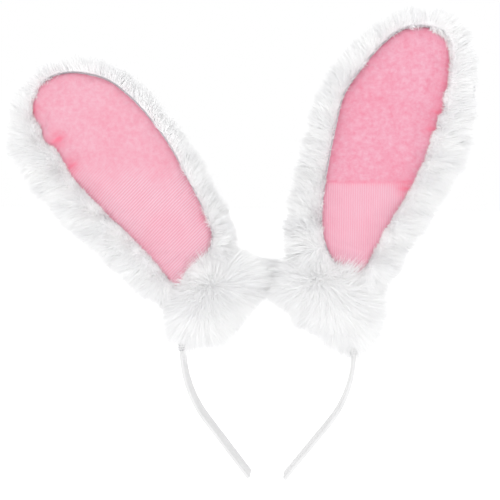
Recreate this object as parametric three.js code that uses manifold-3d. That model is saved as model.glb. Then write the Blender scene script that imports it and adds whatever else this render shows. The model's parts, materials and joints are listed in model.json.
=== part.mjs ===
// A headband with two posable furry animal ears, in millimetres, +Z up, -Y to the front.
//
// The origin is where the crown of the head touches the band: the middle of the band's inner face.
// The band is a sprung plastic strip in a sleeve of satin ribbon. Each ear is a flat sandwich of fur,
// wadding and a pink panel round a wire loop. The loop's tails are twisted into a stem and wound
// round the band, inside a gathered cuff of fur.

import * as THREE from "three";
import { mergeVertices } from "three/addons/utils/BufferGeometryUtils.js";
import ManifoldModule from "manifold-3d";

const wasm = await ManifoldModule();
wasm.setup();

// ---------------------------------------------------------------- driving dimensions

const GAP = 0.3; // left between pieces that touch

// Band: a half circle over the head, then an arc and a straight run that close in towards the tips.
const CROWN_RADIUS = 61;
const ARM_RADIUS = 85;
const ARM_TURN = THREE.MathUtils.degToRad(37);
const ARM_STRAIGHT = 52;
const CORE_DEPTH = 12.6; // front to back
const CORE_THICK = 1.5;
const RIBBON_WALL = 0.4;
const COVER_DEPTH = CORE_DEPTH + 2 * (GAP + RIBBON_WALL);
const COVER_THICK = CORE_THICK + 2 * (GAP + RIBBON_WALL);
const END_FOLD_LENGTH = 1.6;
const FLEX_AT = 98; // along the band from the crown, just below the binding thread
const FLEX_GAP = 1.1;

// Ears. Each is measured from its foot, on the band's centre line.
const FOOT_ANGLE = THREE.MathUtils.degToRad(43); // from the crown, round the band
const LEFT_LEAN = THREE.MathUtils.degToRad(36);
const RIGHT_LEAN = THREE.MathUtils.degToRad(20);
const EAR_BOTTOM = 27;
const RIGHT_STRETCH = 1.03; // the right ear is sewn a little longer
const BEND_AT = 112;
const BEND_FORWARD = THREE.MathUtils.degToRad(30); // half of the notch at the front
const BEND_BACK = THREE.MathUtils.degToRad(12); // half of the notch at the back
const BEND_GAP = 0.4;

// Layers of an ear, front to back.
const BORDER_FRONT = -11;
const BORDER_BACK = -0.3;
const PANEL_FRONT = -5.4;
const PANEL_BACK = -4.6;
const WADDING_BACK = -0.3;
const LOOP_Y = 1.3;
const LOOP_RADIUS = 0.9;
const FUR_BACK_FRONT = 2.6;
const FUR_BACK_BACK = 11;

// Wire at the foot.
const WIRE_RADIUS = 0.7;
const WINDING_SLACK = 0.55; // between a winding and the ribbon
const WRAP_TURNS = 3;
const WRAP_PITCH = 1.9;
const STEM_RADIUS = 1.6;
const LOWER_STEM = [4.8, 9.3];
const UPPER_STEM = [11.4, 26.6];
const STEM_TWIST = THREE.MathUtils.degToRad(540);

// Binding thread beside the cuff.
const THREAD_RADIUS = 0.35;
const THREAD_TURNS = 3;
const THREAD_PITCH = 1.7;
const THREAD_AT = 92.4; // along the band from the crown

// Cuff of gathered fur: an egg about the foot, with a well for the stem.
const CUFF_HALF_WIDTH = 36;
const CUFF_HALF_DEPTH = 22;
const CUFF_UP = 22;
const CUFF_DOWN = 9;
const WELL_FLOOR = -6.2;
const WELL_RADIUS = 9.5; // beside the winding
const WELL_MOUTH = 17;

// ---------------------------------------------------------------- materials

const plain = (color, roughness, metalness = 0) =>
  new THREE.MeshStandardMaterial({ color, roughness, metalness });

const furWhite = () => plain(0xf4f3f5, 0.95);
const cuffWhite = () => plain(0xebeaee, 0.95);
const satinPink = () => plain(0xf9b3c5, 0.55);
const satinWhite = () => plain(0xf3f3f4, 0.45);
const plasticWhite = () => plain(0xe6e6e2, 0.5);
const waddingWhite = () => plain(0xefeeea, 0.95);
const wireGrey = () => plain(0xa9abaf, 0.35, 1);
const threadGrey = () => plain(0x6d6a70, 0.8);

// ---------------------------------------------------------------- geometry helpers

/** Keeps only merged positions, which is what a boolean and a closed body need. */
function weld(geometry) {
  const bare = geometry.index ? geometry.toNonIndexed() : geometry.clone();
  bare.deleteAttribute("normal");
  bare.deleteAttribute("uv");
  return mergeVertices(bare, 1e-3);
}

function toSolid(geometry) {
  const welded = weld(geometry);
  return new wasm.Manifold(
    new wasm.Mesh({
      numProp: 3,
      vertProperties: new Float32Array(welded.attributes.position.array),
      triVerts: new Uint32Array(welded.index.array),
    })
  );
}

function toGeometry(solid) {
  const mesh = solid.getMesh();
  const geometry = new THREE.BufferGeometry();
  geometry.setAttribute("position", new THREE.BufferAttribute(mesh.vertProperties, 3));
  geometry.setIndex(new THREE.BufferAttribute(mesh.triVerts, 1));
  geometry.computeVertexNormals();
  return geometry;
}

function named(name, geometry, material) {
  const mesh = new THREE.Mesh(geometry, material);
  mesh.name = name;
  return mesh;
}

/** A rectangle with cut corners, centred on the origin: width along x, height along y. */
function cutRectangle(width, height, cut) {
  const a = width / 2;
  const b = height / 2;
  return [
    [a, b - cut], [a - cut, b], [cut - a, b], [-a, b - cut],
    [-a, cut - b], [cut - a, -b], [a - cut, -b], [a, cut - b],
  ].map(([x, y]) => new THREE.Vector2(x, y));
}

/** Extrudes a round section along a curve. */
function wireAlong(curve, radius, steps, sides = 5) {
  const section = new THREE.Shape(
    Array.from({ length: sides }, (_, i) => {
      const angle = (2 * Math.PI * i) / sides;
      return new THREE.Vector2(radius * Math.cos(angle), radius * Math.sin(angle));
    })
  );
  return new THREE.ExtrudeGeometry(section, { extrudePath: curve, steps });
}

// ---------------------------------------------------------------- band

/** A stretch of the band's centre line, from one distance along it to another, in the XZ plane. */
class BandCurve extends THREE.Curve {
  constructor(side, from, to) {
    super();
    Object.assign(this, { side, from, to });
  }

  getPoint(t, target = new THREE.Vector3()) {
    const { x, z } = bandPlace(this.from + (this.to - this.from) * t);
    return target.set(this.side * x, 0, z);
  }
}

const CENTRE_Z = -(CROWN_RADIUS - COVER_THICK / 2);
const QUARTER = (CROWN_RADIUS * Math.PI) / 2;
const ARM_ARC = ARM_RADIUS * ARM_TURN;
const BAND_HALF = QUARTER + ARM_ARC + ARM_STRAIGHT;

/** Where the centre line is, this far along it from the crown (negative on the other side). */
function bandPlace(distance) {
  const sign = Math.sign(distance) || 1;
  const s = Math.abs(distance);
  if (s <= QUARTER) {
    const angle = s / CROWN_RADIUS;
    return {
      x: sign * CROWN_RADIUS * Math.sin(angle),
      z: CENTRE_Z + CROWN_RADIUS * Math.cos(angle),
    };
  }
  const turn = Math.min((s - QUARTER) / ARM_RADIUS, ARM_TURN);
  const straight = Math.max(s - QUARTER - ARM_ARC, 0);
  return {
    x: sign * (CROWN_RADIUS - ARM_RADIUS * (1 - Math.cos(turn)) - straight * Math.sin(ARM_TURN)),
    z: CENTRE_Z - ARM_RADIUS * Math.sin(turn) - straight * Math.cos(ARM_TURN),
  };
}

// Along the band the section's x runs front to back and its y through the thickness.
function coreStrip(curve, steps) {
  const section = new THREE.Shape(cutRectangle(CORE_DEPTH, CORE_THICK, 0.4));
  return new THREE.ExtrudeGeometry(section, { extrudePath: curve, steps });
}

function ribbonSleeve(curve, steps) {
  const section = new THREE.Shape(cutRectangle(COVER_DEPTH, COVER_THICK, 0.6));
  const inside = cutRectangle(COVER_DEPTH - 2 * RIBBON_WALL, COVER_THICK - 2 * RIBBON_WALL, 0.45);
  section.holes.push(new THREE.Path(inside.reverse()));
  return new THREE.ExtrudeGeometry(section, { extrudePath: curve, steps });
}

function endFold(curve) {
  const section = new THREE.Shape(cutRectangle(COVER_DEPTH, COVER_THICK, 0.8));
  return new THREE.ExtrudeGeometry(section, { extrudePath: curve, steps: 2 });
}

function crownBand() {
  const reach = FLEX_AT - FLEX_GAP / 2;
  const curve = new BandCurve(1, -reach, reach);
  return [
    named("band_core_crown", coreStrip(curve, 30), plasticWhite()),
    named("band_ribbon_crown", ribbonSleeve(curve, 30), satinWhite()),
  ];
}

function armBand(label, side) {
  const start = FLEX_AT + FLEX_GAP / 2;
  const sleeveEnd = BAND_HALF - END_FOLD_LENGTH - GAP;
  const sleeve = new BandCurve(side, start, sleeveEnd);
  const fold = new BandCurve(side, sleeveEnd + GAP, BAND_HALF);
  return [
    named(`band_core_${label}_arm`, coreStrip(sleeve, 12), plasticWhite()),
    named(`band_ribbon_${label}_arm`, ribbonSleeve(sleeve, 12), satinWhite()),
    named(`${label}_ribbon_end_fold`, endFold(fold), satinWhite()),
  ];
}

/** Turns of wire or thread wound flat round the band, following its curve. */
class WindingCurve extends THREE.Curve {
  constructor(middle, turns, pitch, radius) {
    super();
    Object.assign(this, { middle, turns, pitch, radius });
  }

  getPoint(t, target = new THREE.Vector3()) {
    const along = this.middle + (t - 0.5) * this.turns * this.pitch;
    const here = bandPlace(along);
    const crosswise = along / CROWN_RADIUS;
    const angle = 2 * Math.PI * this.turns * t;
    // A rounded rectangle, so that the turns clear the ribbon's corners.
    const squared = (value) => Math.sign(value) * Math.sqrt(Math.abs(value));
    const depth = (COVER_DEPTH / 2 + WINDING_SLACK + this.radius) * squared(Math.cos(angle));
    const height = (COVER_THICK / 2 + WINDING_SLACK + this.radius) * squared(Math.sin(angle));
    return target.set(
      here.x + height * Math.sin(crosswise),
      depth,
      here.z + height * Math.cos(crosswise)
    );
  }
}

function footWinding(label, side) {
  const curve = new WindingCurve(side * CROWN_RADIUS * FOOT_ANGLE, WRAP_TURNS, WRAP_PITCH, WIRE_RADIUS);
  return named(`${label}_wire_winding`, wireAlong(curve, WIRE_RADIUS, 16 * WRAP_TURNS), wireGrey());
}

function bindingThread(label, side) {
  const curve = new WindingCurve(side * THREAD_AT, THREAD_TURNS, THREAD_PITCH, THREAD_RADIUS);
  const turns = wireAlong(curve, THREAD_RADIUS, 16 * THREAD_TURNS);
  return named(`${label}_binding_thread`, turns, threadGrey());
}

// ---------------------------------------------------------------- ear outlines

// Points are [across, up] from the foot, with across positive towards the other ear.
const FUR_OUTLINE = [
  [0, EAR_BOTTOM], [22, EAR_BOTTOM], [38, EAR_BOTTOM + 2], [45, 54], [50, 90], [51, 122], [45, 152],
  [31, 177], [9, 192], [-14, 197], [-37, 187], [-52, 168], [-58, 140], [-56, 108], [-50, 76],
  [-44, 48], [-38, EAR_BOTTOM + 2], [-22, EAR_BOTTOM],
];
const PANEL_OUTLINE = [
  [0, 36], [19, 36], [28, 54], [33, 84], [37, 116], [35, 144], [26, 167], [10, 183],
  [-7, 189], [-21, 183], [-30, 167], [-33, 140], [-32, 112], [-28, 82], [-23, 54], [-18, 36],
];
const LOOP_INNER = [
  [-0.5, 27.9], [26, 58], [36, 90], [41, 124], [34, 156], [16, 178], [-6, 185], [-7, 185],
];
const LOOP_OUTER = [
  [0.5, 27.9], [-30, 60], [-41, 92], [-46, 130], [-43, 158], [-28, 178], [-6, 185], [-5, 185],
];

/** A closed smooth outline in the ear's own plane. `side` is 1 for the left ear. */
function smoothOutline(points, side, stretch, count) {
  const curve = new THREE.CatmullRomCurve3(
    points.map(([across, up]) => new THREE.Vector3(side * across, stretchUp(up, stretch), 0)),
    true,
    "centripetal"
  );
  const outline = curve.getSpacedPoints(count).slice(0, -1).map(({ x, y }) => new THREE.Vector2(x, y));
  // A mirrored outline runs the other way round, so it is turned back to run anticlockwise.
  return THREE.ShapeUtils.isClockWise(outline) ? outline.reverse() : outline;
}

/** Lengthens an ear above its bottom edge only, so that it keeps clear of the cuff. */
function stretchUp(up, stretch) {
  return up <= EAR_BOTTOM ? up : EAR_BOTTOM + (up - EAR_BOTTOM) * stretch;
}

/** Moves an anticlockwise outline's points out (or in, if negative) along its normals. */
function offsetOutline(outline, distance) {
  return outline.map((point, i) => {
    const before = outline.at(i - 1);
    const after = outline[(i + 1) % outline.length];
    const tangent = new THREE.Vector2().subVectors(after, before).normalize();
    return new THREE.Vector2(point.x + distance * tangent.y, point.y - distance * tangent.x);
  });
}

/**
 * The solid of an outline in the ear's plane, from one depth to another. The ear's own frame has x
 * across, z up and y to the back.
 */
function layer(outline, hole, front, back, bevel) {
  const shape = new THREE.Shape(outline);
  if (hole) shape.holes.push(new THREE.Path(hole));
  const geometry = new THREE.ExtrudeGeometry(shape, {
    depth: back - front - 2 * bevel,
    bevelEnabled: bevel > 0,
    bevelThickness: bevel,
    bevelSize: bevel,
    bevelOffset: -bevel,
    bevelSegments: 2,
  });
  // The extrusion runs along +z; turning it about x sends +z to -y and keeps y as up.
  geometry.rotateX(Math.PI / 2);
  geometry.translate(0, back - bevel, 0);
  return toSolid(geometry);
}

/** The half of space, as a big wedge, that one part of a bending ear may fill. */
function bendWedge(upper) {
  const reach = 260;
  const sign = upper ? 1 : -1;
  const edge = BEND_AT + (sign * BEND_GAP) / 2;
  const front = edge + sign * reach * Math.tan(BEND_FORWARD);
  const back = edge + sign * reach * Math.tan(BEND_BACK);
  const far = BEND_AT + sign * 2 * reach;
  // Drawn with x front to back and y up, then extruded across the ear.
  const outline = [[-reach, front], [0, edge], [reach, back], [reach, far], [-reach, far]];
  const shape = new THREE.Shape(outline.map(([x, y]) => new THREE.Vector2(x, y)));
  const geometry = new THREE.ExtrudeGeometry(shape, { depth: 2 * reach, bevelEnabled: false });
  geometry.translate(0, 0, -reach);
  const toEar = new THREE.Matrix4().makeBasis(
    new THREE.Vector3(0, 1, 0),
    new THREE.Vector3(0, 0, 1),
    new THREE.Vector3(1, 0, 0)
  );
  return toSolid(geometry.applyMatrix4(toEar));
}

const LOWER_WEDGE = bendWedge(false);
const UPPER_WEDGE = bendWedge(true);

/** Splits one solid layer of an ear at the place where the ear bends. */
function splitAtBend(name, whole, material) {
  return [
    named(`${name}_lower`, toGeometry(whole.intersect(LOWER_WEDGE)), material()),
    named(`${name}_upper`, toGeometry(whole.intersect(UPPER_WEDGE)), material()),
  ];
}

// ---------------------------------------------------------------- ear pieces

/** The wire loop as one solid: two halves that run into each other at the tip and at the foot. */
function wireLoop(side, stretch) {
  const halves = [LOOP_INNER, LOOP_OUTER].map((points) => {
    const curve = new THREE.CatmullRomCurve3(
      points.map(([across, up]) => new THREE.Vector3(side * across, LOOP_Y, stretchUp(up, stretch))),
      false,
      "centripetal"
    );
    return toSolid(wireAlong(curve, LOOP_RADIUS, 22));
  });
  return halves[0].add(halves[1]);
}

/** Two round wires twisted together, standing up the z axis. */
function twistedStem([from, to]) {
  const length = to - from;
  const lobes = 12;
  const section = new THREE.Shape(
    Array.from({ length: lobes }, (_, i) => {
      const angle = (2 * Math.PI * i) / lobes;
      const radius = STEM_RADIUS * (0.72 + 0.28 * Math.cos(2 * angle));
      return new THREE.Vector2(radius * Math.cos(angle), radius * Math.sin(angle));
    })
  );
  const steps = Math.ceil(length / 1.6);
  const geometry = new THREE.ExtrudeGeometry(section, { depth: length, steps, bevelEnabled: false });
  geometry.translate(0, 0, from);
  const { position } = geometry.attributes;
  const point = new THREE.Vector3();
  const up = new THREE.Vector3(0, 0, 1);
  for (let i = 0; i < position.count; i += 1) {
    point.fromBufferAttribute(position, i);
    point.applyAxisAngle(up, (STEM_TWIST * point.z) / UPPER_STEM[1]);
    position.setXYZ(i, point.x, point.y, point.z);
  }
  return geometry;
}

function earPieces(label, side, stretch) {
  const furOutline = smoothOutline(FUR_OUTLINE, side, stretch, 44);
  const panelOutline = smoothOutline(PANEL_OUTLINE, side, stretch, 36);
  const panelEdge = offsetOutline(panelOutline, -GAP);
  const furBack = layer(furOutline, null, FUR_BACK_FRONT, FUR_BACK_BACK, 2.5);
  const furBorder = layer(furOutline, panelOutline, BORDER_FRONT, BORDER_BACK, 2);
  const pinkPanel = layer(panelEdge, null, PANEL_FRONT, PANEL_BACK, 0);
  const wadding = layer(panelEdge, null, PANEL_BACK + GAP, WADDING_BACK, 0);
  return [
    named(`${label}_wire_stem_lower`, twistedStem(LOWER_STEM), wireGrey()),
    named(`${label}_wire_stem_upper`, twistedStem(UPPER_STEM), wireGrey()),
    ...splitAtBend(`${label}_wire_loop`, wireLoop(side, stretch), wireGrey),
    ...splitAtBend(`${label}_fur_back`, furBack, furWhite),
    ...splitAtBend(`${label}_fur_border`, furBorder, furWhite),
    ...splitAtBend(`${label}_pink_panel`, pinkPanel, satinPink),
    ...splitAtBend(`${label}_wadding`, wadding, waddingWhite),
  ];
}

// ---------------------------------------------------------------- cuff

/** The gathered fur at an ear's foot, leaning out by `facing`, threaded on the band. */
function furCuff(label, side, facing) {
  const egg = new THREE.SphereGeometry(1, 22, 12);
  egg.rotateX(Math.PI / 2);
  const { position } = egg.attributes;
  for (let i = 0; i < position.count; i += 1) {
    const z = position.getZ(i);
    position.setXYZ(
      i,
      position.getX(i) * CUFF_HALF_WIDTH,
      position.getY(i) * CUFF_HALF_DEPTH,
      z * (z > 0 ? CUFF_UP : CUFF_DOWN)
    );
  }
  const top = CUFF_UP + 3;
  const profile = [
    [0, WELL_FLOOR], [WELL_RADIUS - 1, WELL_FLOOR], [WELL_RADIUS, 0], [WELL_MOUTH, top], [0, top],
  ];
  const well = new THREE.LatheGeometry(
    profile.map(([radius, height]) => new THREE.Vector2(radius, height)),
    18
  );
  well.rotateX(Math.PI / 2);
  const tunnelSection = new THREE.Shape(
    cutRectangle(COVER_DEPTH + 2 * GAP, COVER_THICK + 2 * GAP, 0.3)
  );
  const foot = side * CROWN_RADIUS * FOOT_ANGLE;
  const tunnelPath = new BandCurve(1, foot - 60, foot + 60);
  const tunnel = new THREE.ExtrudeGeometry(tunnelSection, { extrudePath: tunnelPath, steps: 14 });
  const place = footPlace(side, facing);
  egg.applyMatrix4(place);
  well.applyMatrix4(place);
  const solid = toSolid(egg).subtract(toSolid(well)).subtract(toSolid(tunnel));
  return named(`${label}_fur_cuff`, toGeometry(solid), cuffWhite());
}

/** The frame at an ear's foot: on the band's centre line, leaning out by `lean` on its own side. */
function footPlace(side, lean) {
  const { x, z } = bandPlace(side * CROWN_RADIUS * FOOT_ANGLE);
  const turned = new THREE.Matrix4().makeRotationY(side * lean);
  return new THREE.Matrix4().makeTranslation(x, 0, z).multiply(turned);
}

// ---------------------------------------------------------------- assembly

function ear(label, side, lean, stretch) {
  const group = new THREE.Group();
  // Outlines are drawn with +across towards the other ear, which is +x on the left ear.
  group.add(...earPieces(label, -side, stretch));
  group.applyMatrix4(footPlace(side, lean));
  return group;
}

const headband = new THREE.Group();
headband.add(...crownBand());
for (const [label, side, lean, stretch] of [
  ["left", -1, LEFT_LEAN, 1],
  ["right", 1, RIGHT_LEAN, RIGHT_STRETCH],
]) {
  headband.add(...armBand(label, side));
  headband.add(footWinding(label, side));
  headband.add(bindingThread(label, side));
  headband.add(furCuff(label, side, (lean + FOOT_ANGLE) / 2));
  headband.add(ear(label, side, lean, stretch));
}

export default headband;
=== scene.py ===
"""Looks for a headband with two furry animal ears: fur, satin panels, cuffs, band and studio."""

import json
import math

import bmesh
import bpy
import numpy as np
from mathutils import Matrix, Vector
from mathutils.geometry import delaunay_2d_cdt


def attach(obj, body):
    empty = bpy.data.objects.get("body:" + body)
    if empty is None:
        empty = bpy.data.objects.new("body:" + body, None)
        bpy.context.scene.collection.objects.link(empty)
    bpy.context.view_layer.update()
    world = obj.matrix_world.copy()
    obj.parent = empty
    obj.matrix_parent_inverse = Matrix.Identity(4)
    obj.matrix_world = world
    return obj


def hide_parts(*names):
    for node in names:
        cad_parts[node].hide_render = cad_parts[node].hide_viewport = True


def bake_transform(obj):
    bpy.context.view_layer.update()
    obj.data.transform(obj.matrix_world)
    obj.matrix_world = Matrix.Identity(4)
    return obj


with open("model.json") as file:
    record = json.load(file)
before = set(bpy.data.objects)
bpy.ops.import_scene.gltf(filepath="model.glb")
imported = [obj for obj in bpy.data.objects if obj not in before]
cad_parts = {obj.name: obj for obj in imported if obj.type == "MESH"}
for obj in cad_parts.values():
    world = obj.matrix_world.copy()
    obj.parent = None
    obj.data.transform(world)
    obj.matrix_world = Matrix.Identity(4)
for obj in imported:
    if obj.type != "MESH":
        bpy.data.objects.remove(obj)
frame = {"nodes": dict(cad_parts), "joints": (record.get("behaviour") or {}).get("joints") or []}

MM = 0.001
JOINTS = {joint["name"]: joint for joint in frame["joints"]}
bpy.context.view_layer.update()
rng = np.random.default_rng(11)

# ---------------------------------------------------------------- driving dimensions, in millimetres

SIDES = {"left": -1, "right": 1}

# Outlines are [across, up] from an ear's foot, with across positive towards the other ear.
FUR_TIPS = {
    "left": [
        [0, 3], [20, 4], [36, 14], [41, 36], [45, 58], [48, 84], [49, 112], [47, 136], [38, 163],
        [22, 180], [4, 191], [-17, 194], [-39, 184], [-55, 169], [-61, 144], [-59, 112], [-55, 82],
        [-48, 48], [-41, 18], [-20, 5],
    ],
    "right": [
        [0, 3], [20, 4], [36, 14], [42, 38], [46, 60], [50, 88], [53, 114], [50, 142], [43, 162],
        [31, 183], [9, 200], [-14, 200], [-31, 184], [-43, 160], [-52, 136], [-53, 106], [-49, 78],
        [-43, 48], [-38, 18], [-20, 5],
    ],
}
PANEL_EDGE = {
    "left": [
        [0, 20], [16, 22], [27, 32], [32, 50], [36, 74], [39, 98], [39, 120], [36, 142],
        [29, 161], [13, 178], [-5, 185], [-20, 181], [-29, 171], [-30, 161], [-33.5, 152],
        [-29.5, 142], [-31, 131], [-32, 118],
        [-28, 88], [-23, 62], [-20.5, 36], [-17, 13],
    ],
    "right": [
        [0, 20], [11, 29], [20, 42], [26, 60], [30.5, 80], [35, 106], [37.5, 130], [33, 150],
        [26, 169], [15, 184], [-2, 190], [-15, 186], [-23, 170], [-27, 151], [-29, 143],
        [-27, 137], [-29.5, 130], [-28, 124], [-30, 115],
        [-29, 92], [-25, 70], [-21, 40], [-15, 11],
    ],
}
# Where the outer seam draws the cloth up: [across, up, strength, reach].
PUCKERS = {
    "left": [[-27, 174, 1.0, 5.5], [-23, 147, 1.0, 6.5], [-26, 127, 0.9, 6], [32, 42, 0.7, 6]],
    "right": [
        [-26, 141, 0.9, 4.5], [-26, 129, 0.8, 5], [-24, 86, 0.9, 6], [-23, 160, 0.45, 5],
        [-22, 171, 0.5, 5], [-17, 181, 0.4, 5],
    ],
}
CREASE = {"left": 0.0, "right": 1.0}  # a fold across the panel where its nap changes
STATIONS = 220

# Cloth simulation of the panels.
SETTLE_FRAMES = 24
SETTLE_LIMIT = 3.0  # how far a point of the cloth may move

# Depths in an ear, with the front negative.
PANEL_DEPTH = -4.6
ROLL_RISE = 3.0
BACK_DEPTH = 7.5
HEM_SHADOW_REACH = 1.3  # how far from the hem the painted shadow on the undercoat reaches
HEM_GROOVE = 0.8  # bare strip along the panel's hem on the side towards the other ear
EAR_HAIR = 9.0
FRONT_STRANDS = 62000
BACK_STRANDS = 45000
PILE_REACH = 8.0  # from the hide's rim to the tips of the fur

# Cuffs: which way each faces, the hide's half-sizes along the band, front to back and outwards,
# how far it is moved outwards and down the band, and its hair.
CUFF_FACING = {"left": math.radians(47), "right": math.radians(37)}
CUFF_HALF = {"left": np.array([29.5, 11, 14.5]), "right": np.array([28.5, 11, 15.5])}
CUFF_LIFT = {"left": -3.5, "right": -0.5}
CUFF_SHIFT = {"left": 0.0, "right": 3.0}
CUFF_PARTING = {"left": (0, 0), "right": (-11, 5)}  # along the band and outwards
CUFF_REACH = {"left": 0.2, "right": 0.24}  # how much longer the hair grows at the outer end
CUFF_HAIR = 15.5
CUFF_STRANDS = 62000

# Band.
CROWN_RADIUS = 61
ARM_RADIUS = 85
ARM_TURN = math.radians(37)
ARM_STRAIGHT = 52
BAND_THICK = 2.9
BAND_DEPTH = 14.0

# Pinks of the panels: brushed nap above, ribbed cloth below, drawn up at the seam, and a deeper pink
# painted as shade in the folds and along the seam.
PINK_COLOUR = {"left": (0.67, 0.298, 0.378), "right": (0.665, 0.262, 0.35)}
PINK_PALE = {"left": (0.69, 0.36, 0.44), "right": (0.69, 0.345, 0.43)}
PINK_FOLD_SHADE = (0.72, 0.155, 0.24)
RIB_TURN = {"left": math.radians(-45), "right": 0.0}
RIB_PITCH = {"left": 0.0017, "right": 0.0015}
# Colour multipliers in the ribs and in the flecks of the nap.
RIB_DARK = {"left": (0.97, 0.76, 0.81), "right": (0.98, 0.86, 0.89)}
RIB_BRIGHT = {"left": (1.0, 1.17, 1.13), "right": (1.0, 1.09, 1.07)}
FLECK_DARK = {"left": (0.98, 0.85, 0.885), "right": (0.97, 0.78, 0.835)}
FLECK_BRIGHT = {"left": (1.0, 1.17, 1.13), "right": (1.0, 1.26, 1.2)}
CHANGE_AT = {"left": 0.054, "right": 0.061}  # the height where the ribs give way to the nap
CHANGE_REACH = {"left": 0.024, "right": 0.0016}
CHANGE_WANDER = {"left": 0.03, "right": 0.004}

# Whites of the strands, from root tone to bright tone.
FUR_WHITES = [(0.88, 0.88, 0.885), (0.9, 0.9, 0.902), (0.92, 0.92, 0.92)]
CUFF_WHITES = [(0.885, 0.885, 0.89), (0.91, 0.91, 0.912), (0.935, 0.935, 0.935)]
HEM_SHADOW_GREY = (0.38, 0.38, 0.4, 1)  # painted shadow: the grey mixed into the undercoat along the panel's hem

# ---------------------------------------------------------------- small helpers


def unit(vectors):
    """Each vector at length one."""
    vectors = np.asarray(vectors, float)
    return vectors / np.maximum(np.linalg.norm(vectors, axis=-1, keepdims=True), 1e-12)


def smooth_loop(points, count):
    """A closed smooth curve through the points, as `count` evenly spaced points."""
    p = np.array(points, float)
    t = np.linspace(0, 1, 12, endpoint=False)[:, None]
    runs = []
    for i in range(len(p)):
        a, b, c, d = p[i - 1], p[i], p[(i + 1) % len(p)], p[(i + 2) % len(p)]
        runs.append(0.5 * (2 * b + (c - a) * t + (2 * a - 5 * b + 4 * c - d) * t**2
                           + (3 * b - a - 3 * c + d) * t**3))
    dense = np.concatenate(runs + [p[:1]])
    length = np.concatenate([[0], np.cumsum(np.linalg.norm(np.diff(dense, axis=0), axis=1))])
    at = np.linspace(0, length[-1], count, endpoint=False)
    return np.stack([np.interp(at, length, dense[:, k]) for k in range(p.shape[1])], axis=1)


def waves(points, seed, scale, count=7):
    """Smooth noise between about -1 and 1 at each point: a sum of sine waves of random direction."""
    random = np.random.default_rng(seed)
    total = np.zeros(len(points))
    for _ in range(count):
        direction = unit(random.normal(size=3)) * random.uniform(0.6, 1.5) / scale
        total += np.sin(points @ direction * 2 * math.pi + random.uniform(0, 2 * math.pi))
    return total / math.sqrt(count)


def make_mesh(name, vertices, faces, smooth=True):
    mesh = bpy.data.meshes.new(name)
    mesh.from_pydata([tuple(v) for v in vertices], [], [tuple(f) for f in faces])
    mesh.validate()
    if smooth:
        mesh.shade_smooth()
    obj = bpy.data.objects.new(name, mesh)
    bpy.context.scene.collection.objects.link(obj)
    return obj


def grid_faces(rows, columns):
    """Quads between rows of points: `columns` points in each row, joined end to end."""
    faces = []
    for row in range(rows - 1):
        for column in range(columns):
            after = (column + 1) % columns
            faces.append((row * columns + column, row * columns + after,
                          (row + 1) * columns + after, (row + 1) * columns + column))
    return faces


def merge_close(obj, distance=1e-5):
    mesh = obj.data
    work = bmesh.new()
    work.from_mesh(mesh)
    bmesh.ops.remove_doubles(work, verts=work.verts, dist=distance)
    bmesh.ops.recalc_face_normals(work, faces=work.faces)
    work.to_mesh(mesh)
    work.free()
    mesh.shade_smooth()


def apply_modifiers(obj):
    depsgraph = bpy.context.evaluated_depsgraph_get()
    mesh = bpy.data.meshes.new_from_object(obj.evaluated_get(depsgraph))
    obj.modifiers.clear()
    obj.data = mesh


def keep_rest_place(obj):
    """Stores each point's place at rest, in metres, for materials that must not slide when it bends."""
    points = np.array([v.co for v in obj.data.vertices])
    attribute = obj.data.attributes.new("rest_place", "FLOAT_VECTOR", "POINT")
    attribute.data.foreach_set("vector", points.astype(np.float32).ravel())


# ---------------------------------------------------------------- materials


def new_material(name, colour, roughness, sheen=0.0, sheen_roughness=0.5, metallic=0.0):
    material = bpy.data.materials.new(name)
    material.use_nodes = True
    shader = material.node_tree.nodes["Principled BSDF"]
    shader.inputs["Base Color"].default_value = (*colour, 1)
    shader.inputs["Roughness"].default_value = roughness
    shader.inputs["Metallic"].default_value = metallic
    shader.inputs["Sheen Weight"].default_value = sheen
    shader.inputs["Sheen Roughness"].default_value = sheen_roughness
    return material


def node(material, kind, **settings):
    made = material.node_tree.nodes.new(kind)
    for key, value in settings.items():
        if key in made.inputs.keys():
            made.inputs[key].default_value = value
        else:
            setattr(made, key, value)
    return made


def link(material, source, target):
    material.node_tree.links.new(source, target)


def rest_place(material):
    return node(material, "ShaderNodeAttribute", attribute_name="rest_place").outputs["Vector"]


def scaled(material, vector, scale, turn=(0, 0, 0)):
    mapping = node(material, "ShaderNodeMapping")
    mapping.inputs["Scale"].default_value = scale
    mapping.inputs["Rotation"].default_value = turn
    link(material, vector, mapping.inputs["Vector"])
    return mapping.outputs["Vector"]


def two_tones(material, factor, low, high, start, end):
    """A colour that runs from low to high as the factor goes from start to end."""
    ramp = node(material, "ShaderNodeValToRGB")
    ramp.color_ramp.elements[0].position = start
    ramp.color_ramp.elements[1].position = end
    ramp.color_ramp.elements[0].color = (*low, 1)
    ramp.color_ramp.elements[1].color = (*high, 1)
    link(material, factor, ramp.inputs["Fac"])
    return ramp.outputs["Color"]


def colour_between(material, factor, low, high):
    """Colours a material from low to high by a noise factor."""
    link(material, two_tones(material, factor, low, high, 0.3, 0.7),
         material.node_tree.nodes["Principled BSDF"].inputs["Base Color"])


def bump(material, height, strength, distance):
    made = node(material, "ShaderNodeBump", Strength=strength, Distance=distance)
    link(material, height, made.inputs["Height"])
    link(material, made.outputs["Normal"], material.node_tree.nodes["Principled BSDF"].inputs["Normal"])


def mixed(material, factor, a, b, blend_type="MIX"):
    """A colour mix whose inputs are links or plain colours."""
    mix = node(material, "ShaderNodeMix", data_type="RGBA", blend_type=blend_type)
    for name, value in (("Factor", factor), ("A", a), ("B", b)):
        if isinstance(value, (tuple, float)):
            mix.inputs[name].default_value = value
        else:
            link(material, value, mix.inputs[name])
    return mix.outputs["Result"]


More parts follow.
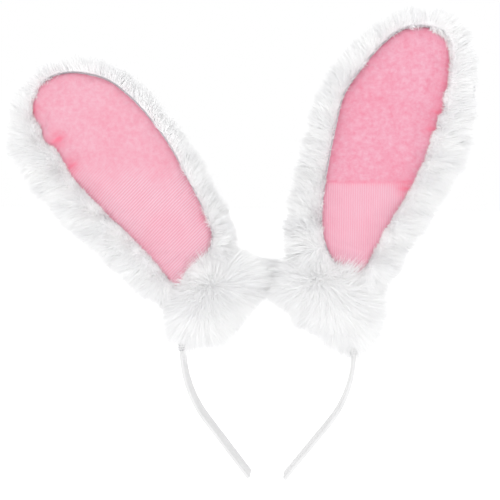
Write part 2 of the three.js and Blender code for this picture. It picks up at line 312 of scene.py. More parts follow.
def pink_velour(label):
    """Pink panel cloth: brushed nap in soft flecks above, fine ribs and a paler pink below, with
    painted shade in the folds and along the seam.
    """
    material = new_material(f"pink_velour_{label}", PINK_COLOUR[label], 0.6, sheen=0.3,
                            sheen_roughness=0.35)
    shader = material.node_tree.nodes["Principled BSDF"]
    place = rest_place(material)
    height = node(material, "ShaderNodeSeparateXYZ")
    link(material, place, height.inputs["Vector"])
    drift = node(material, "ShaderNodeTexNoise", Scale=1.0, Detail=3.0, Roughness=0.5)
    link(material, scaled(material, place, (45, 45, 45)), drift.inputs["Vector"])
    wander = node(material, "ShaderNodeMath", operation="MULTIPLY_ADD")
    link(material, drift.outputs["Fac"], wander.inputs[0])
    wander.inputs[1].default_value = CHANGE_WANDER[label]
    link(material, height.outputs["Z"], wander.inputs[2])
    upper = node(material, "ShaderNodeMapRange", interpolation_type="SMOOTHSTEP")
    start = CHANGE_AT[label] + CHANGE_WANDER[label] / 2
    upper.inputs["From Min"].default_value = start
    upper.inputs["From Max"].default_value = start + CHANGE_REACH[label]
    link(material, wander.outputs[0], upper.inputs["Value"])
    napped = upper.outputs["Result"]

    flecks = node(material, "ShaderNodeTexNoise", Scale=1.0, Detail=6.0, Roughness=0.75)
    link(material, scaled(material, place, (260, 260, 300)), flecks.inputs["Vector"])
    clouds = node(material, "ShaderNodeTexNoise", Scale=1.0, Detail=2.0, Roughness=0.5)
    link(material, scaled(material, place, (55, 55, 40)), clouds.inputs["Vector"])
    ribs = node(material, "ShaderNodeTexWave", wave_type="BANDS", bands_direction="X",
                Scale=1.0, Distortion=0.7, Detail=2.0)
    ribs.inputs["Detail Scale"].default_value = 2.0
    rib_scale = 2 * math.pi / (20 * RIB_PITCH[label])
    turned = scaled(material, place, (rib_scale,) * 3, (0, RIB_TURN[label], 0))
    link(material, turned, ribs.inputs["Vector"])

    tone = mixed(material, napped, (*PINK_PALE[label], 1), (*PINK_COLOUR[label], 1))
    fleck = two_tones(material, flecks.outputs["Fac"], FLECK_DARK[label], FLECK_BRIGHT[label],
                      0.35, 0.65)
    cloud = two_tones(material, clouds.outputs["Fac"], (1.0, 0.95, 0.96), (1.0, 1.05, 1.04), 0.3, 0.7)
    white = (1.0, 1.0, 1.0, 1.0)
    rib = two_tones(material, ribs.outputs["Fac"], RIB_DARK[label], RIB_BRIGHT[label], 0.1, 0.9)
    flecked = mixed(material, 1.0, tone, mixed(material, napped, white, fleck), "MULTIPLY")
    clouded = mixed(material, 1.0, flecked, cloud, "MULTIPLY")
    ribbed = mixed(material, 1.0, clouded, mixed(material, napped, rib, white), "MULTIPLY")
    # Painted shade: a deeper pink mixed in where the cloth folds, along the crease and at the seam.
    drawn = node(material, "ShaderNodeAttribute", attribute_name="painted_fold_shade")
    link(material, mixed(material, drawn.outputs["Fac"], ribbed, (*PINK_FOLD_SHADE, 1)),
         shader.inputs["Base Color"])

    nap = node(material, "ShaderNodeTexNoise", Scale=1.0, Detail=3.0, Roughness=0.7)
    link(material, scaled(material, place, (1400, 1400, 800)), nap.inputs["Vector"])
    brushed = node(material, "ShaderNodeBump", Strength=0.4, Distance=0.0004)
    link(material, nap.outputs["Fac"], brushed.inputs["Height"])
    strength = node(material, "ShaderNodeMath", operation="MULTIPLY_ADD")
    link(material, napped, strength.inputs[0])
    strength.inputs[1].default_value = -0.4
    strength.inputs[2].default_value = 0.45
    raised = node(material, "ShaderNodeBump", Distance=0.0003)
    link(material, strength.outputs[0], raised.inputs["Strength"])
    link(material, ribs.outputs["Fac"], raised.inputs["Height"])
    link(material, brushed.outputs["Normal"], raised.inputs["Normal"])
    link(material, raised.outputs["Normal"], shader.inputs["Normal"])
    return material


def fur_hide(name, low, high):
    """The dense undercoat that shows between the strands, with a painted shadow along the panel's hem.
    """
    material = new_material(name, high, 0.95, sheen=0.2)
    tufts = node(material, "ShaderNodeTexNoise", Scale=1.0, Detail=4.0, Roughness=0.6)
    link(material, scaled(material, rest_place(material), (420, 420, 420)), tufts.inputs["Vector"])
    # Painted shadow: a grey mixed into the undercoat where the hem attribute is set.
    shade = node(material, "ShaderNodeAttribute", attribute_name="painted_hem_shadow")
    coat = two_tones(material, tufts.outputs["Fac"], low, high, 0.3, 0.7)
    link(material, mixed(material, shade.outputs["Fac"], coat, HEM_SHADOW_GREY),
         material.node_tree.nodes["Principled BSDF"].inputs["Base Color"])
    bump(material, tufts.outputs["Fac"], 0.6, 0.001)
    return material


def strand_materials(prefix, tones):
    """A few nearly equal whites for the strands, from root tone to bright tone."""
    return [new_material(f"{prefix}_{i}", tone, 0.8, sheen=0.15) for i, tone in enumerate(tones)]


def band_satin():
    """White satin ribbon: a soft gloss with a fine weave across it."""
    material = new_material("white_satin_ribbon", (0.64, 0.64, 0.643), 0.4, sheen=0.2)
    place = rest_place(material)
    drift = node(material, "ShaderNodeTexNoise", Scale=1.0, Detail=3.0)
    link(material, scaled(material, place, (60, 160, 60)), drift.inputs["Vector"])
    colour_between(material, drift.outputs["Fac"], (0.61, 0.61, 0.613), (0.67, 0.67, 0.673))
    weave = node(material, "ShaderNodeTexNoise", Scale=1.0, Detail=2.0)
    link(material, scaled(material, place, (700, 2600, 700)), weave.inputs["Vector"])
    bump(material, weave.outputs["Fac"], 0.25, 0.0002)
    return material


def soft_wadding():
    material = new_material("wadding", (0.88, 0.88, 0.86), 0.95)
    fluff = node(material, "ShaderNodeTexNoise", Scale=1.0, Detail=5.0, Roughness=0.7)
    link(material, scaled(material, rest_place(material), (300, 300, 300)), fluff.inputs["Vector"])
    colour_between(material, fluff.outputs["Fac"], (0.82, 0.82, 0.8), (0.93, 0.93, 0.91))
    bump(material, fluff.outputs["Fac"], 0.7, 0.001)
    return material


def object_noise_material(name, low, high, roughness, scale, metallic=0.0):
    """For carried-over CAD nodes: a small drift of colour and a fine bump in object space."""
    material = new_material(name, high, roughness, metallic=metallic)
    where = node(material, "ShaderNodeTexCoord").outputs["Object"]
    drift = node(material, "ShaderNodeTexNoise", Scale=scale, Detail=3.0)
    link(material, where, drift.inputs["Vector"])
    colour_between(material, drift.outputs["Fac"], low, high)
    bump(material, drift.outputs["Fac"], 0.2, 0.0002)
    return material


PINK = {label: pink_velour(label) for label in SIDES}
HIDE = fur_hide("fur_hide", (0.84, 0.84, 0.85), (0.92, 0.92, 0.923))
CUFF_HIDE = fur_hide("cuff_hide", (0.88, 0.88, 0.885), (0.95, 0.95, 0.955))
FUR = strand_materials("fur_strand", FUR_WHITES)
CUFF_FUR = strand_materials("cuff_strand", CUFF_WHITES)
SATIN = band_satin()
WADDING = soft_wadding()

# ---------------------------------------------------------------- an ear's own frame


class Ear:
    """Where one ear is: its foot, its axis and the direction across it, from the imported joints."""

    def __init__(self, label):
        self.label = label
        self.side = SIDES[label]
        self.foot = np.array(JOINTS[f"{label}_ear_lean"]["pos_m"], float)
        self.bend = np.array(JOINTS[f"{label}_ear_bend"]["pos_m"], float)
        self.up = unit(self.bend - self.foot)
        self.across = -self.side * np.array([self.up[2], 0, -self.up[0]])
        self.back = np.array([0.0, 1.0, 0.0])
        self.tips = smooth_loop(FUR_TIPS[label], STATIONS)
        self.edge = smooth_loop(PANEL_EDGE[label], STATIONS)

    def place(self, across, up, depth):
        """Points in the row frame, in metres, from millimetres in the ear's frame."""
        across, up, depth = (np.asarray(x, float)[..., None] * MM for x in (across, up, depth))
        return self.foot + across * self.across + up * self.up + depth * self.back

    def flat(self, places):
        """Across, up and depth in millimetres, from points in the row frame."""
        local = (places - self.foot) / MM
        return local @ self.across, local @ self.up, local @ self.back

    def blend(self, piece):
        """Bakes a piece's placement into its mesh."""
        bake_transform(piece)


def cupping(across):
    """How far forward the ear's sides curl, in millimetres of depth."""
    return -2.5 * (np.asarray(across) / 45) ** 2


# ---------------------------------------------------------------- fur


def nearest(points, loop):
    """Distance from each flat point to a closed loop's points, and the direction away from it."""
    distance = np.empty(len(points))
    away = np.empty((len(points), 2))
    for start in range(0, len(points), 4000):
        part = points[start:start + 4000]
        gap = part[:, None] - loop[None]
        length = np.linalg.norm(gap, axis=2)
        index = length.argmin(axis=1)
        rows = np.arange(len(part))
        distance[start:start + 4000] = length[rows, index]
        away[start:start + 4000] = gap[rows, index]
    return distance, unit(away)


def roots_on(obj, count, odds):
    """Random roots on a mesh: places and smooth outward normals. odds gives each triangle's weight."""
    mesh = obj.data
    mesh.calc_loop_triangles()
    corners = np.empty(len(mesh.loop_triangles) * 3, np.int32)
    mesh.loop_triangles.foreach_get("vertices", corners)
    corners = corners.reshape(-1, 3)
    place = np.empty(len(mesh.vertices) * 3)
    mesh.vertices.foreach_get("co", place)
    place = place.reshape(-1, 3)
    normal = np.array([v.normal for v in mesh.vertices])
    a, b, c = (place[corners[:, k]] for k in range(3))
    area = np.linalg.norm(np.cross(b - a, c - a), axis=1)
    facing = unit(normal[corners].sum(axis=1))
    chance = area * odds((a + b + c) / 3, facing)
    chosen = rng.choice(len(chance), size=count, p=chance / chance.sum())
    f, g = rng.random(count), rng.random(count)
    over = f + g > 1
    f[over], g[over] = 1 - f[over], 1 - g[over]
    share = np.stack([1 - f - g, f, g], axis=1)
    root = (place[corners[chosen]] * share[..., None]).sum(axis=1)
    out = unit((normal[corners[chosen]] * share[..., None]).sum(axis=1))
    return root, out


BLADE = [(0.0, 1.0), (0.55, 0.8), (1.0, 0.0)]  # how far along a strand, and its share of full width
CLUMPING = 0.14  # how far the tips of neighbouring strands draw together


def strands(name, root, normal, direction, length, droop, width, materials, clump_size):
    """One mesh of tapering hair blades. Each starts along `direction`, curves by `droop` and shows
    its flat side outwards, so that light falls on it as on the fur as a whole."""
    count = len(root)
    cell = np.floor(root / clump_size + 0.35 * np.stack(
        [waves(root, 71 + k, clump_size * 2.2) for k in range(3)], axis=1)).astype(np.int64)
    key = (cell * np.array([73856093, 19349663, 83492791])).sum(axis=1)
    _, group = np.unique(key, return_inverse=True)
    group = group.reshape(-1)
    members = np.bincount(group).astype(float)

    def group_mean(values):
        return np.stack([np.bincount(group, values[:, k]) / members for k in range(3)], axis=1)[group]

    tip = root + direction * length[:, None] + droop * length[:, None]
    gather = (group_mean(tip) - tip) * (CLUMPING * rng.uniform(0.3, 1, count))[:, None]
    flat = unit(np.cross(direction, normal) + 1e-4)
    turned = rng.uniform(-0.9, 0.9, count)[:, None]
    across = unit(flat * np.cos(turned) + np.cross(direction, flat) * np.sin(turned))
    layers = []
    for t, share in BLADE:
        middle = root + (direction * t + droop * t * t) * length[:, None] + gather * t**1.6
        if share:
            half = across * (width * share / 2)[:, None]
            layers += [middle - half, middle + half]
        else:
            layers.append(middle)
    quads = len(BLADE) - 2
    vertices = np.stack(layers, axis=1).reshape(-1, 3)
    pattern = [corner + 2 * k for k in range(quads) for corner in (0, 1, 3, 2)]
    pattern += [2 * quads, 2 * quads + 1, 2 * quads + 2]
    loops = (np.arange(count)[:, None] * (2 * quads + 3) + np.array(pattern)).ravel()
    starts = (np.arange(count)[:, None] * len(pattern) + 4 * np.arange(quads + 1)).ravel()
    mesh = bpy.data.meshes.new(name)
    mesh.vertices.add(len(vertices))
    mesh.vertices.foreach_set("co", vertices.astype(np.float32).ravel())
    mesh.loops.add(len(loops))
    mesh.loops.foreach_set("vertex_index", loops.astype(np.int32))
    mesh.polygons.add(len(starts))
    mesh.polygons.foreach_set("loop_start", starts.astype(np.int32))
    tone = waves(root, 21, 0.016) + rng.normal(scale=0.9, size=count)
    slot = np.digitize(tone, [-0.6, 0.5])
    for material in materials:
        mesh.materials.append(material)
    mesh.polygons.foreach_set("material_index", np.repeat(slot, quads + 1).astype(np.int32))
    mesh.polygons.foreach_set("use_smooth", np.ones(len(starts), bool))
    mesh.update(calc_edges=True)
    obj = bpy.data.objects.new(name, mesh)
    bpy.context.scene.collection.objects.link(obj)
    return obj


def within(points, loop):
    """Which flat points lie inside a closed loop."""
    winding = np.zeros(len(points))
    for p, q in zip(loop, np.roll(loop, -1, axis=0)):
        v, w = p - points, q - points
        winding += np.arctan2(v[:, 0] * w[:, 1] - v[:, 1] * w[:, 0], (v * w).sum(axis=1))
    return np.abs(winding) > 3


def flat_cloth(edge, pitch):
    """A flat piece of cloth inside a closed edge, in even triangles: its points and its faces."""
    low, high = edge.min(axis=0), edge.max(axis=0)
    rows = np.arange(low[1], high[1], pitch * 0.866)
    inner = np.array([(x, y) for k, y in enumerate(rows)
                      for x in np.arange(low[0] + pitch * 0.5 * (k % 2), high[0], pitch)])
    near, _ = nearest(inner, edge)
    inner = inner[within(inner, edge) & (near > pitch * 0.6)]
    points = np.concatenate([edge, inner])
    count = len(edge)
    sides = [(k, (k + 1) % count) for k in range(count)]
    found = delaunay_2d_cdt([Vector(p) for p in points], sides, [], 1, 1e-7)
    return np.array(found[0]), [tuple(face) for face in found[2]]


# ---------------------------------------------------------------- ear hide and pile


def hide_loops(ear):
    """Loops round the ear, from the recess behind the panel out to the rim: flat, depth."""
    reach = ear.tips - ear.edge
    width = np.linalg.norm(reach, axis=1)[:, None]
    out = reach / width
    rim = np.maximum(width - PILE_REACH, 2.0)
    rise = np.minimum(ROLL_RISE, rim[:, 0] * 0.5)
    front = np.full(STATIONS, PANEL_DEPTH)
    loops = [(ear.edge - out * 2.2, front + 2.2), (ear.edge - out * 0.2, front + 1.6)]
    for share, lift in ((0.06, -0.3), (0.2, -0.75), (0.42, -1.0), (0.66, -0.8), (0.86, -0.1)):
        loops.append((ear.edge + out * rim * share, front + rise * lift))
    loops.append((ear.edge + out * rim, front * 0.35))
    loops.append((ear.edge + out * (rim + 0.3), front * 0 + 0.8))
    loops.append((ear.edge + out * (rim - 0.4), front * 0 + 3.4))
    return loops


def ear_hide(ear):
    """The fur's backing and dense undercoat: a closed shell round the panel's recess."""
    loops = hide_loops(ear)
    rows = [ear.place(flat[:, 0], flat[:, 1], depth + cupping(flat[:, 0])) for flat, depth in loops]
    vertices = list(np.concatenate(rows))
    faces = grid_faces(len(rows), STATIONS)
    for (loop, depth), crown in ((loops[0], 0.3), (loops[-1], BACK_DEPTH - 3.4)):
        flat, cap = flat_cloth(loop, 3.6)
        inset, _ = nearest(flat, smooth_loop(loop, 900))
        bulge = crown * (1 - np.exp(-np.maximum(inset - 0.3, 0) / 9))
        place = ear.place(flat[:, 0], flat[:, 1], depth[0] + bulge + cupping(flat[:, 0]))
        faces += [tuple(len(vertices) + corner for corner in face) for face in cap]
        vertices += list(place)
    obj = make_mesh(f"{ear.label}_fur_hide", vertices, faces)
    merge_close(obj, 2e-5)
    obj.data.materials.append(HIDE)
    keep_rest_place(obj)
    across, up, _ = ear.flat(np.array([v.co for v in obj.data.vertices]))
    from_edge, _ = nearest(np.stack([across, up], axis=1), ear.edge)
    # Painted shadow: the undercoat darkens close to the panel's hem, except on the ear's outer side.
    painted_hem_shadow = obj.data.attributes.new("painted_hem_shadow", "FLOAT", "POINT")
    depth_of_shade = np.exp(-(from_edge / HEM_SHADOW_REACH) ** 2) * (across > -10)
    painted_hem_shadow.data.foreach_set("value", depth_of_shade.astype(np.float32))
    ear.blend(obj)
    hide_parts(*(f"{ear.label}_{layer}_{part}" for layer in ("fur_back", "fur_border")
                       for part in ("lower", "upper")))
    return obj


def ear_pile(ear, hide, part, count):
    """The strands of one part of an ear's fur: its front border and rim, or its back."""
    front = part == "front_pile"

    def odds(middle, facing):
        across, up, _ = ear.flat(middle)
        flat = np.stack([across, up], axis=1)
        from_edge, _ = nearest(flat, ear.edge)
        at_hem = (from_edge < HEM_GROOVE) & (across > 0) & (facing[:, 1] < 0.2)
        behind_panel = within(flat, ear.edge) & (facing[:, 1] < 0.2) | at_hem
        shown = facing[:, 1] < 0.35 if front else facing[:, 1] > 0
        return np.where(shown & ~behind_panel, 1.0, 0.0)

    root, normal = roots_on(hide, count, odds)
    across, up, _ = ear.flat(root)
    flat = np.stack([across, up], axis=1)
    from_edge, _ = nearest(flat, ear.edge)
    to_tips, inward = nearest(flat, ear.tips)
    span = from_edge + to_tips
    share = np.clip(from_edge / np.maximum(span - PILE_REACH, 1), 0, 1)
    outward = -inward[:, :1] * ear.across - inward[:, 1:] * ear.up
    swirl = np.stack([waves(root, 5 + k, 0.016) for k in range(3)], axis=1)
    fine = np.stack([waves(root, 15 + k, 0.006) for k in range(3)], axis=1)
    if front:
        comb = unit(outward + 0.35 * ear.up)
        overhang = np.where(across < 0, -0.5, 0.45)
        lie = overhang + (1.25 - overhang) * np.clip(share / 0.45, 0, 1)
        room = np.clip(0.42 + 1.1 * share, 0.42, 1)
    else:
        near_rim = np.clip(1 - to_tips / 30, 0, 1)[:, None]
        comb = unit(outward * near_rim + ear.up * 0.8)
        lie = np.full(count, 1.4)
        room = 1.0
    stray = rng.normal(scale=0.27, size=root.shape)
    direction = unit(normal + lie[:, None] * comb + 0.18 * swirl + 0.13 * fine + stray)
    droop = 0.3 * comb + 0.18 * swirl + rng.normal(scale=0.08, size=root.shape)
    guard = np.where(rng.random(count) < 0.06, 1.3, 1.0)
    lengths = EAR_HAIR * MM * room * guard * rng.uniform(0.5, 1.15, count)
    width = rng.uniform(0.16, 0.3, count) * MM / guard
    obj = strands(f"{ear.label}_fur_{part}", root, normal, direction, lengths, droop, width, FUR,
                  0.0036)
    ear.blend(obj)
    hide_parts(f"{ear.label}_fur_back_lower")


# ---------------------------------------------------------------- pink panel and wadding


def pucker_at(flat, ear):
    """How strongly each panel point is drawn up by the puckers of the seam, and the folds' wave."""
    drawn = np.zeros(len(flat))
    fold = np.zeros(len(flat))
    for across, up, strength, reach in PUCKERS[ear.label]:
        x, y = (flat[:, 0] - across) / reach, (flat[:, 1] - up) / reach
        drawn += strength * np.exp(-x * x - 1.6 * y * y)
        fold += strength * np.exp(-0.5 * x * x - 0.7 * y * y) * np.cos(7.5 * y + 1.5 * x)
    return drawn, fold


def pink_panel(ear):
    """The pink panel: a sewn sheet, slack enough to gather into small puckers along its edge, puffed
    over the wadding.
    """
    flat, faces = flat_cloth(ear.edge, 2.0)
    inset, _ = nearest(flat, smooth_loop(PANEL_EDGE[ear.label], 1200))
    drawn, fold = pucker_at(flat, ear)
    free = np.minimum(inset / 3, 1)
    height = ear.place(flat[:, 0], flat[:, 1], 0 * inset)[:, 2]
    crease = CREASE[ear.label] * np.exp(-((height - CHANGE_AT["right"] - 0.001) / 0.0016) ** 2)
    seam = PANEL_DEPTH + 1.9 + 0.8 * np.clip(flat[:, 0] / 20, 0, 1)
    front = PANEL_DEPTH - 0.6 + 0.9 * drawn - 0.8 * fold * free + 0.5 * crease
    depth = front + (seam - front) * np.exp(-inset / 1.9)
    place = ear.place(flat[:, 0], flat[:, 1], depth + cupping(flat[:, 0]))
    obj = make_mesh(f"{ear.label}_pink_panel_cloth", place, faces)
    sewn = obj.vertex_groups.new(name="sewn_edge")
    held = np.exp(-inset / 1.2)
    for index in range(len(place)):
        sewn.add([index], float(1 if inset[index] < 0.25 else held[index] * 0.6), "REPLACE")
    slack = obj.vertex_groups.new(name="slack")
    loose = np.clip(drawn * 1.5, 0, 1)
    for index in range(len(place)):
        slack.add([index], float(loose[index]), "REPLACE")
    before = np.array([v.co for v in obj.data.vertices])
    settle(obj)
    moved = np.array([v.co for v in obj.data.vertices]) - before
    far = np.linalg.norm(moved, axis=1, keepdims=True)
    after = before + moved * np.minimum(1, SETTLE_LIMIT * MM / np.maximum(far, 1e-9))
    obj.data.vertices.foreach_set("co", after.astype(np.float32).ravel())
    # Painted shade: how much deeper pink each point takes, in the folds of the puckers, near the seam
    # and along the crease.
    fold_shade_layer = obj.data.attributes.new("painted_fold_shade", "FLOAT", "POINT")
    in_folds = drawn * (0.72 + 0.28 * np.clip(fold * 2, -1, 1))
    fold_shade_amount = np.clip(in_folds + 0.35 * np.exp(-inset / 2.5) + 0.3 * crease, 0, 1)
    fold_shade_layer.data.foreach_set("value", fold_shade_amount.astype(np.float32))
    smoother = obj.modifiers.new("finer", "SUBSURF")
    smoother.levels = 1
    smoother.render_levels = 1
    apply_modifiers(obj)
    obj.data.shade_smooth()
    obj.data.materials.clear()
    obj.data.materials.append(PINK[ear.label])
    keep_rest_place(obj)
    ear.blend(obj)
    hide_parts(f"{ear.label}_pink_panel_lower", f"{ear.label}_pink_panel_upper")


def settle(obj):
    """Lets the slack cloth settle under a light pull forwards, which stands in for the wadding behind
    it.
    """
    cloth = obj.modifiers.new("cloth", "CLOTH")
    settings = cloth.settings
    settings.quality = 6
    settings.mass = 0.15
    settings.tension_stiffness = 18
    settings.compression_stiffness = 18
    settings.shear_stiffness = 6
    settings.bending_stiffness = 0.4
    settings.shrink_min = -0.012
    settings.shrink_max = -0.1
    settings.vertex_group_shrink = "slack"
    settings.vertex_group_mass = "sewn_edge"
    cloth.point_cache.frame_start = 1
    cloth.point_cache.frame_end = SETTLE_FRAMES
    scene = bpy.context.scene
    scene.gravity = (0, -2.5, 0)
    for number in range(1, SETTLE_FRAMES + 1):
        scene.frame_set(number)
        bpy.context.view_layer.update()
    apply_modifiers(obj)
    scene.frame_set(1)
    scene.gravity = (0, 0, -9.81)


def wadding_pad(ear):
    """The thin pad behind the panel: two flat faces joined at a thin edge."""
    inwards = unit(np.stack([ear.edge[:, 0] * 0, np.clip(ear.edge[:, 1], 45, 150)], axis=1) - ear.edge)
    loop = ear.edge + inwards * 2.4
    flat, cap = flat_cloth(loop, 3.6)
    inset, _ = nearest(flat, smooth_loop(loop, 900))
    full = 1 - np.exp(-np.maximum(inset - 0.3, 0) / 2)
    vertices, faces = [], []
    for middle, swell in ((1.35, -0.55), (1.35, 0.35)):
        depth = PANEL_DEPTH + middle + swell * full + cupping(flat[:, 0])
        faces += [tuple(len(vertices) + corner for corner in face) for face in cap]
        vertices += list(ear.place(flat[:, 0], flat[:, 1], depth))
    obj = make_mesh(f"{ear.label}_wadding_pad", vertices, faces)
    merge_close(obj, 2e-5)
    obj.data.materials.append(WADDING)
    keep_rest_place(obj)
    ear.blend(obj)
    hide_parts(f"{ear.label}_wadding_lower", f"{ear.label}_wadding_upper")


def build_ear(label):
    ear = Ear(label)
    hide = ear_hide(ear)
    ear_pile(ear, hide, "front_pile", FRONT_STRANDS)
    ear_pile(ear, hide, "back_pile", BACK_STRANDS)
    wadding_pad(ear)
    pink_panel(ear)
    return ear


# ---------------------------------------------------------------- cuffs


def build_cuff(ear):
    """The gathered bunch of long fur round the band at an ear's foot."""
    turn = CUFF_FACING[ear.label]
    facing = np.array([ear.side * math.sin(turn), 0, math.cos(turn)])
    along = np.array([facing[2], 0, -facing[0]]) * ear.side
    half = CUFF_HALF[ear.label] * MM
    stations, rings = 56, 26
    angle = np.linspace(0, 2 * math.pi, stations, endpoint=False)
    rows = []
    for ring in range(rings + 1):
        x, r = math.cos(math.pi * ring / rings), math.sin(math.pi * ring / rings)
        sag = -0.16 * x * x * half[0] + CUFF_LIFT[ear.label] * MM
        middle = ear.foot + along * (x * half[0] + CUFF_SHIFT[ear.label] * MM) + facing * sag
        rows.append(middle + ear.back * (r * np.cos(angle) * half[1])[:, None]
                    + facing * (r * np.sin(angle) * half[2])[:, None])
    hide = make_mesh(f"{ear.label}_cuff_hide", np.concatenate(rows), grid_faces(rings + 1, stations))
    merge_close(hide, 2e-5)
    hide.data.materials.append(CUFF_HIDE)
    keep_rest_place(hide)
    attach(hide, "head_span")
    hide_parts(f"{ear.label}_fur_cuff")

    count = CUFF_STRANDS

    def odds(middle, facing):
        return 1 + 3.5 * np.clip(-(middle - ear.foot) @ along / half[0] - 0.5, 0, 1)

    root, normal = roots_on(hide, count, odds)
    across = (root - ear.foot) @ along
    parting = CUFF_PARTING[ear.label]
    gap = root - ear.foot - (along * parting[0] + facing * parting[1]) * MM
    lie_flat = np.array([1, 0.33, 1])
    spread = (gap - along * (gap @ along * 0.25)[:, None]) * lie_flat
    size = np.linalg.norm(spread, axis=1, keepdims=True)
    middle = np.exp(-(size / 0.011) ** 2)
    crown_end = np.clip(-across / half[0] - 0.4, 0, 0.6)[:, None]
    crownward = np.array([-ear.side, 0, -0.25])
    comb = spread / (size + 0.006) + (0.6 * along - 0.7 * facing) * middle
    comb = comb + 2.7 * crown_end * crownward
    swirl = np.stack([waves(root, 31 + k, 0.02) for k in range(3)], axis=1)
    fine = np.stack([waves(root, 41 + k, 0.006) for k in range(3)], axis=1)
    stray = rng.normal(size=root.shape) * (0.16 + 0.55 * middle)
    ruffle = (0.24 * swirl + 0.12 * fine + stray) * lie_flat
    direction = unit(0.7 * normal * lie_flat + 0.85 * comb + ruffle)
    droop = (0.32 * comb + 0.2 * swirl + rng.normal(scale=0.09, size=root.shape)) * lie_flat
    guard = np.where(rng.random(count) < 0.05, 1.25, 1.0)
    outer_end = np.clip(across / half[0], 0, 1)
    reach = 1 - 0.05 * np.clip(-across / half[0] - 0.5, 0, 1) + CUFF_REACH[ear.label] * outer_end
    length = CUFF_HAIR * MM * guard * reach * rng.uniform(0.6, 1.1, count)
    width = rng.uniform(0.18, 0.34, count) * MM / guard
    pile = strands(f"{ear.label}_cuff_pile", root, normal, direction, length, droop, width, CUFF_FUR,
                   0.0055)
    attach(pile, "head_span")
    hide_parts(f"{ear.label}_fur_cuff")


# ---------------------------------------------------------------- band


def band_place(distance):
    """The band's centre line this far along from the crown, and its outward normal, for x above 0."""
    quarter = CROWN_RADIUS * math.pi / 2
    centre_z = -(CROWN_RADIUS - BAND_THICK / 2)
    if distance <= quarter:
        angle = distance / CROWN_RADIUS
        out = np.array([math.sin(angle), math.cos(angle)])
        return np.array([0, centre_z]) + CROWN_RADIUS * out, out
    turn = min((distance - quarter) / ARM_RADIUS, ARM_TURN)
    straight = max(distance - quarter - ARM_RADIUS * ARM_TURN, 0)
    out = np.array([math.cos(turn), -math.sin(turn)])
    x = CROWN_RADIUS - ARM_RADIUS * (1 - math.cos(turn)) - straight * math.sin(ARM_TURN)
    z = centre_z - ARM_RADIUS * math.sin(turn) - straight * math.cos(ARM_TURN)
    return np.array([x, z]), out


def ribbon_section(count=40):
    """The ribbon's closed section as [depth, thickness], a rounded bar with a slightly full face."""
    angle = np.linspace(0, 2 * math.pi, count, endpoint=False)
    c, s = np.cos(angle), np.sin(angle)
    depth = np.sign(c) * np.abs(c) ** 0.3 * BAND_DEPTH / 2
    thick = np.sign(s) * np.abs(s) ** 0.45 * BAND_THICK / 2
    return np.stack([depth, thick], axis=1)


def band_half(label):
    """One half of the ribbon-covered band, from the crown to the rounded tip."""
    side = SIDES[label]
    total = CROWN_RADIUS * math.pi / 2 + ARM_RADIUS * ARM_TURN + ARM_STRAIGHT
    section = ribbon_section()
    body = np.linspace(0, total - 1.4, 190)
    ends = [(total - 1.4 + 1.4 * math.sin(a), math.cos(a)) for a in np.linspace(0.2, math.pi / 2, 7)]
    rows = []
    for distance, scale in [(d, 1.0) for d in body] + ends:
        place, out = band_place(distance)
        ripple = 0.05 * math.sin(distance * 0.9) * math.sin(distance * 0.23 + side)
        depth = section[:, 0] * (0.5 + 0.5 * scale)
        thick = section[:, 1] * max(scale, 0.02) * (1 + ripple * 0.5)
        flat = place + thick[:, None] * out
        rows.append(np.stack([side * flat[:, 0], depth, flat[:, 1]], axis=1) * MM)
    points = np.stack(rows)
    obj = make_mesh(f"{label}_band_ribbon", points.reshape(-1, 3), grid_faces(len(rows), len(section)))
    mesh = obj.data
    work = bmesh.new()
    work.from_mesh(mesh)
    bmesh.ops.holes_fill(work, edges=[e for e in work.edges if e.is_boundary])
    bmesh.ops.recalc_face_normals(work, faces=work.faces)
    work.to_mesh(mesh)
    work.free()
    mesh.shade_smooth()
    mesh.materials.append(SATIN)
    keep_rest_place(obj)
    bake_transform(obj)
    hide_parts("band_ribbon_crown", f"band_ribbon_{label}_arm", f"{label}_ribbon_end_fold")


# ---------------------------------------------------------------- carried-over CAD pieces


def dress_cad_nodes():
    wire = object_noise_material("galvanised_wire", (0.45, 0.46, 0.48), (0.66, 0.67, 0.69),
                                 0.38, 900, 1.0)
    thread = object_noise_material("binding_thread", (0.2, 0.19, 0.22), (0.34, 0.33, 0.36), 0.85, 1800)
    white_thread = object_noise_material("white_thread", (0.7, 0.7, 0.7), (0.8, 0.8, 0.8), 0.85, 1800)
    core = object_noise_material("band_core_plastic", (0.78, 0.78, 0.75), (0.86, 0.86, 0.84), 0.45, 300)
    for name, obj in frame["nodes"].items():
        chosen = None
        if "wire" in name:
            chosen = wire
        elif "thread" in name:
            chosen = thread if name.startswith("left") else white_thread
        elif "band_core" in name:
            chosen = core
        if chosen:
            for held in obj.material_slots:
                held.material = chosen


# ---------------------------------------------------------------- studio


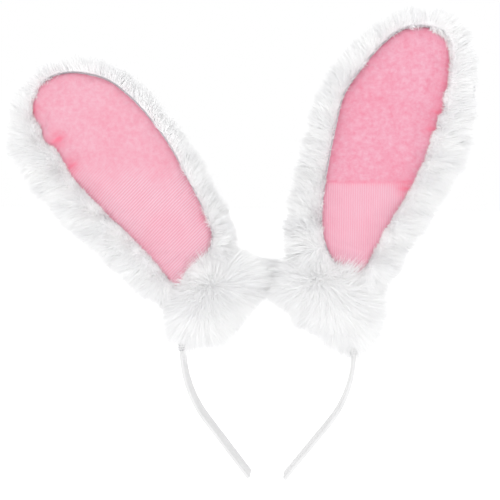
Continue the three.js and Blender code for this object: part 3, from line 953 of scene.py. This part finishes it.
def studio():
    scene = bpy.context.scene
    scene.view_settings.view_transform = "Standard"
    scene.view_settings.look = "None"
    scene.cycles.max_bounces = 16
    scene.cycles.diffuse_bounces = 14
    world = bpy.data.worlds.new("studio")
    scene.world = world
    world.use_nodes = True
    background = world.node_tree.nodes["Background"]
    background.inputs["Color"].default_value = (1, 1, 1, 1)
    background.inputs["Strength"].default_value = 1.0

    corners = np.array([[-6, -6, -0.5], [6, -6, -0.5], [6, 6, -0.5], [-6, 6, -0.5]])
    floor_mesh = make_mesh("studio_floor", corners, [(0, 1, 2, 3)], smooth=False)
    white = new_material("floor_white", (1, 1, 1), 0.9)
    shader = white.node_tree.nodes["Principled BSDF"]
    shader.inputs["Emission Color"].default_value = (1, 1, 1, 1)
    shader.inputs["Emission Strength"].default_value = 0.25
    floor_mesh.data.materials.append(white)

    def area_light(name, place, size, power):
        data = bpy.data.lights.new(name, "AREA")
        data.shape = "DISK"
        data.size = size
        data.energy = power
        light = bpy.data.objects.new(name, data)
        scene.collection.objects.link(light)
        light.location = place
        aim = Vector(place) - Vector((0, 0, 0.03))
        light.rotation_euler = aim.to_track_quat("Z", "Y").to_euler()

    area_light("key", (-0.05, -1.7, 0.9), 0.8, 8.6)
    area_light("top", (-0.1, -0.5, 1.6), 0.6, 2)


def camera():
    scene = bpy.context.scene
    data = bpy.data.cameras.new("camera")
    cam = bpy.data.objects.new("camera", data)
    scene.collection.objects.link(cam)
    scene.camera = cam
    azimuth, elevation, distance = math.radians(6), math.radians(8), 0.56
    aim = np.array([-0.0125, 0.0, 0.0138])
    back = np.array([math.sin(azimuth) * math.cos(elevation), -math.cos(azimuth) * math.cos(elevation),
                     math.sin(elevation)])
    cam.location = aim + back * distance
    cam.rotation_euler = Vector(back).to_track_quat("Z", "Y").to_euler()
    data.sensor_width = 36
    data.lens = 36 * distance / 0.351
    data.clip_start = 0.01
    data.clip_end = 30


camera()
studio()
dress_cad_nodes()
for side_name in SIDES:
    build_cuff(build_ear(side_name))
    band_half(side_name)
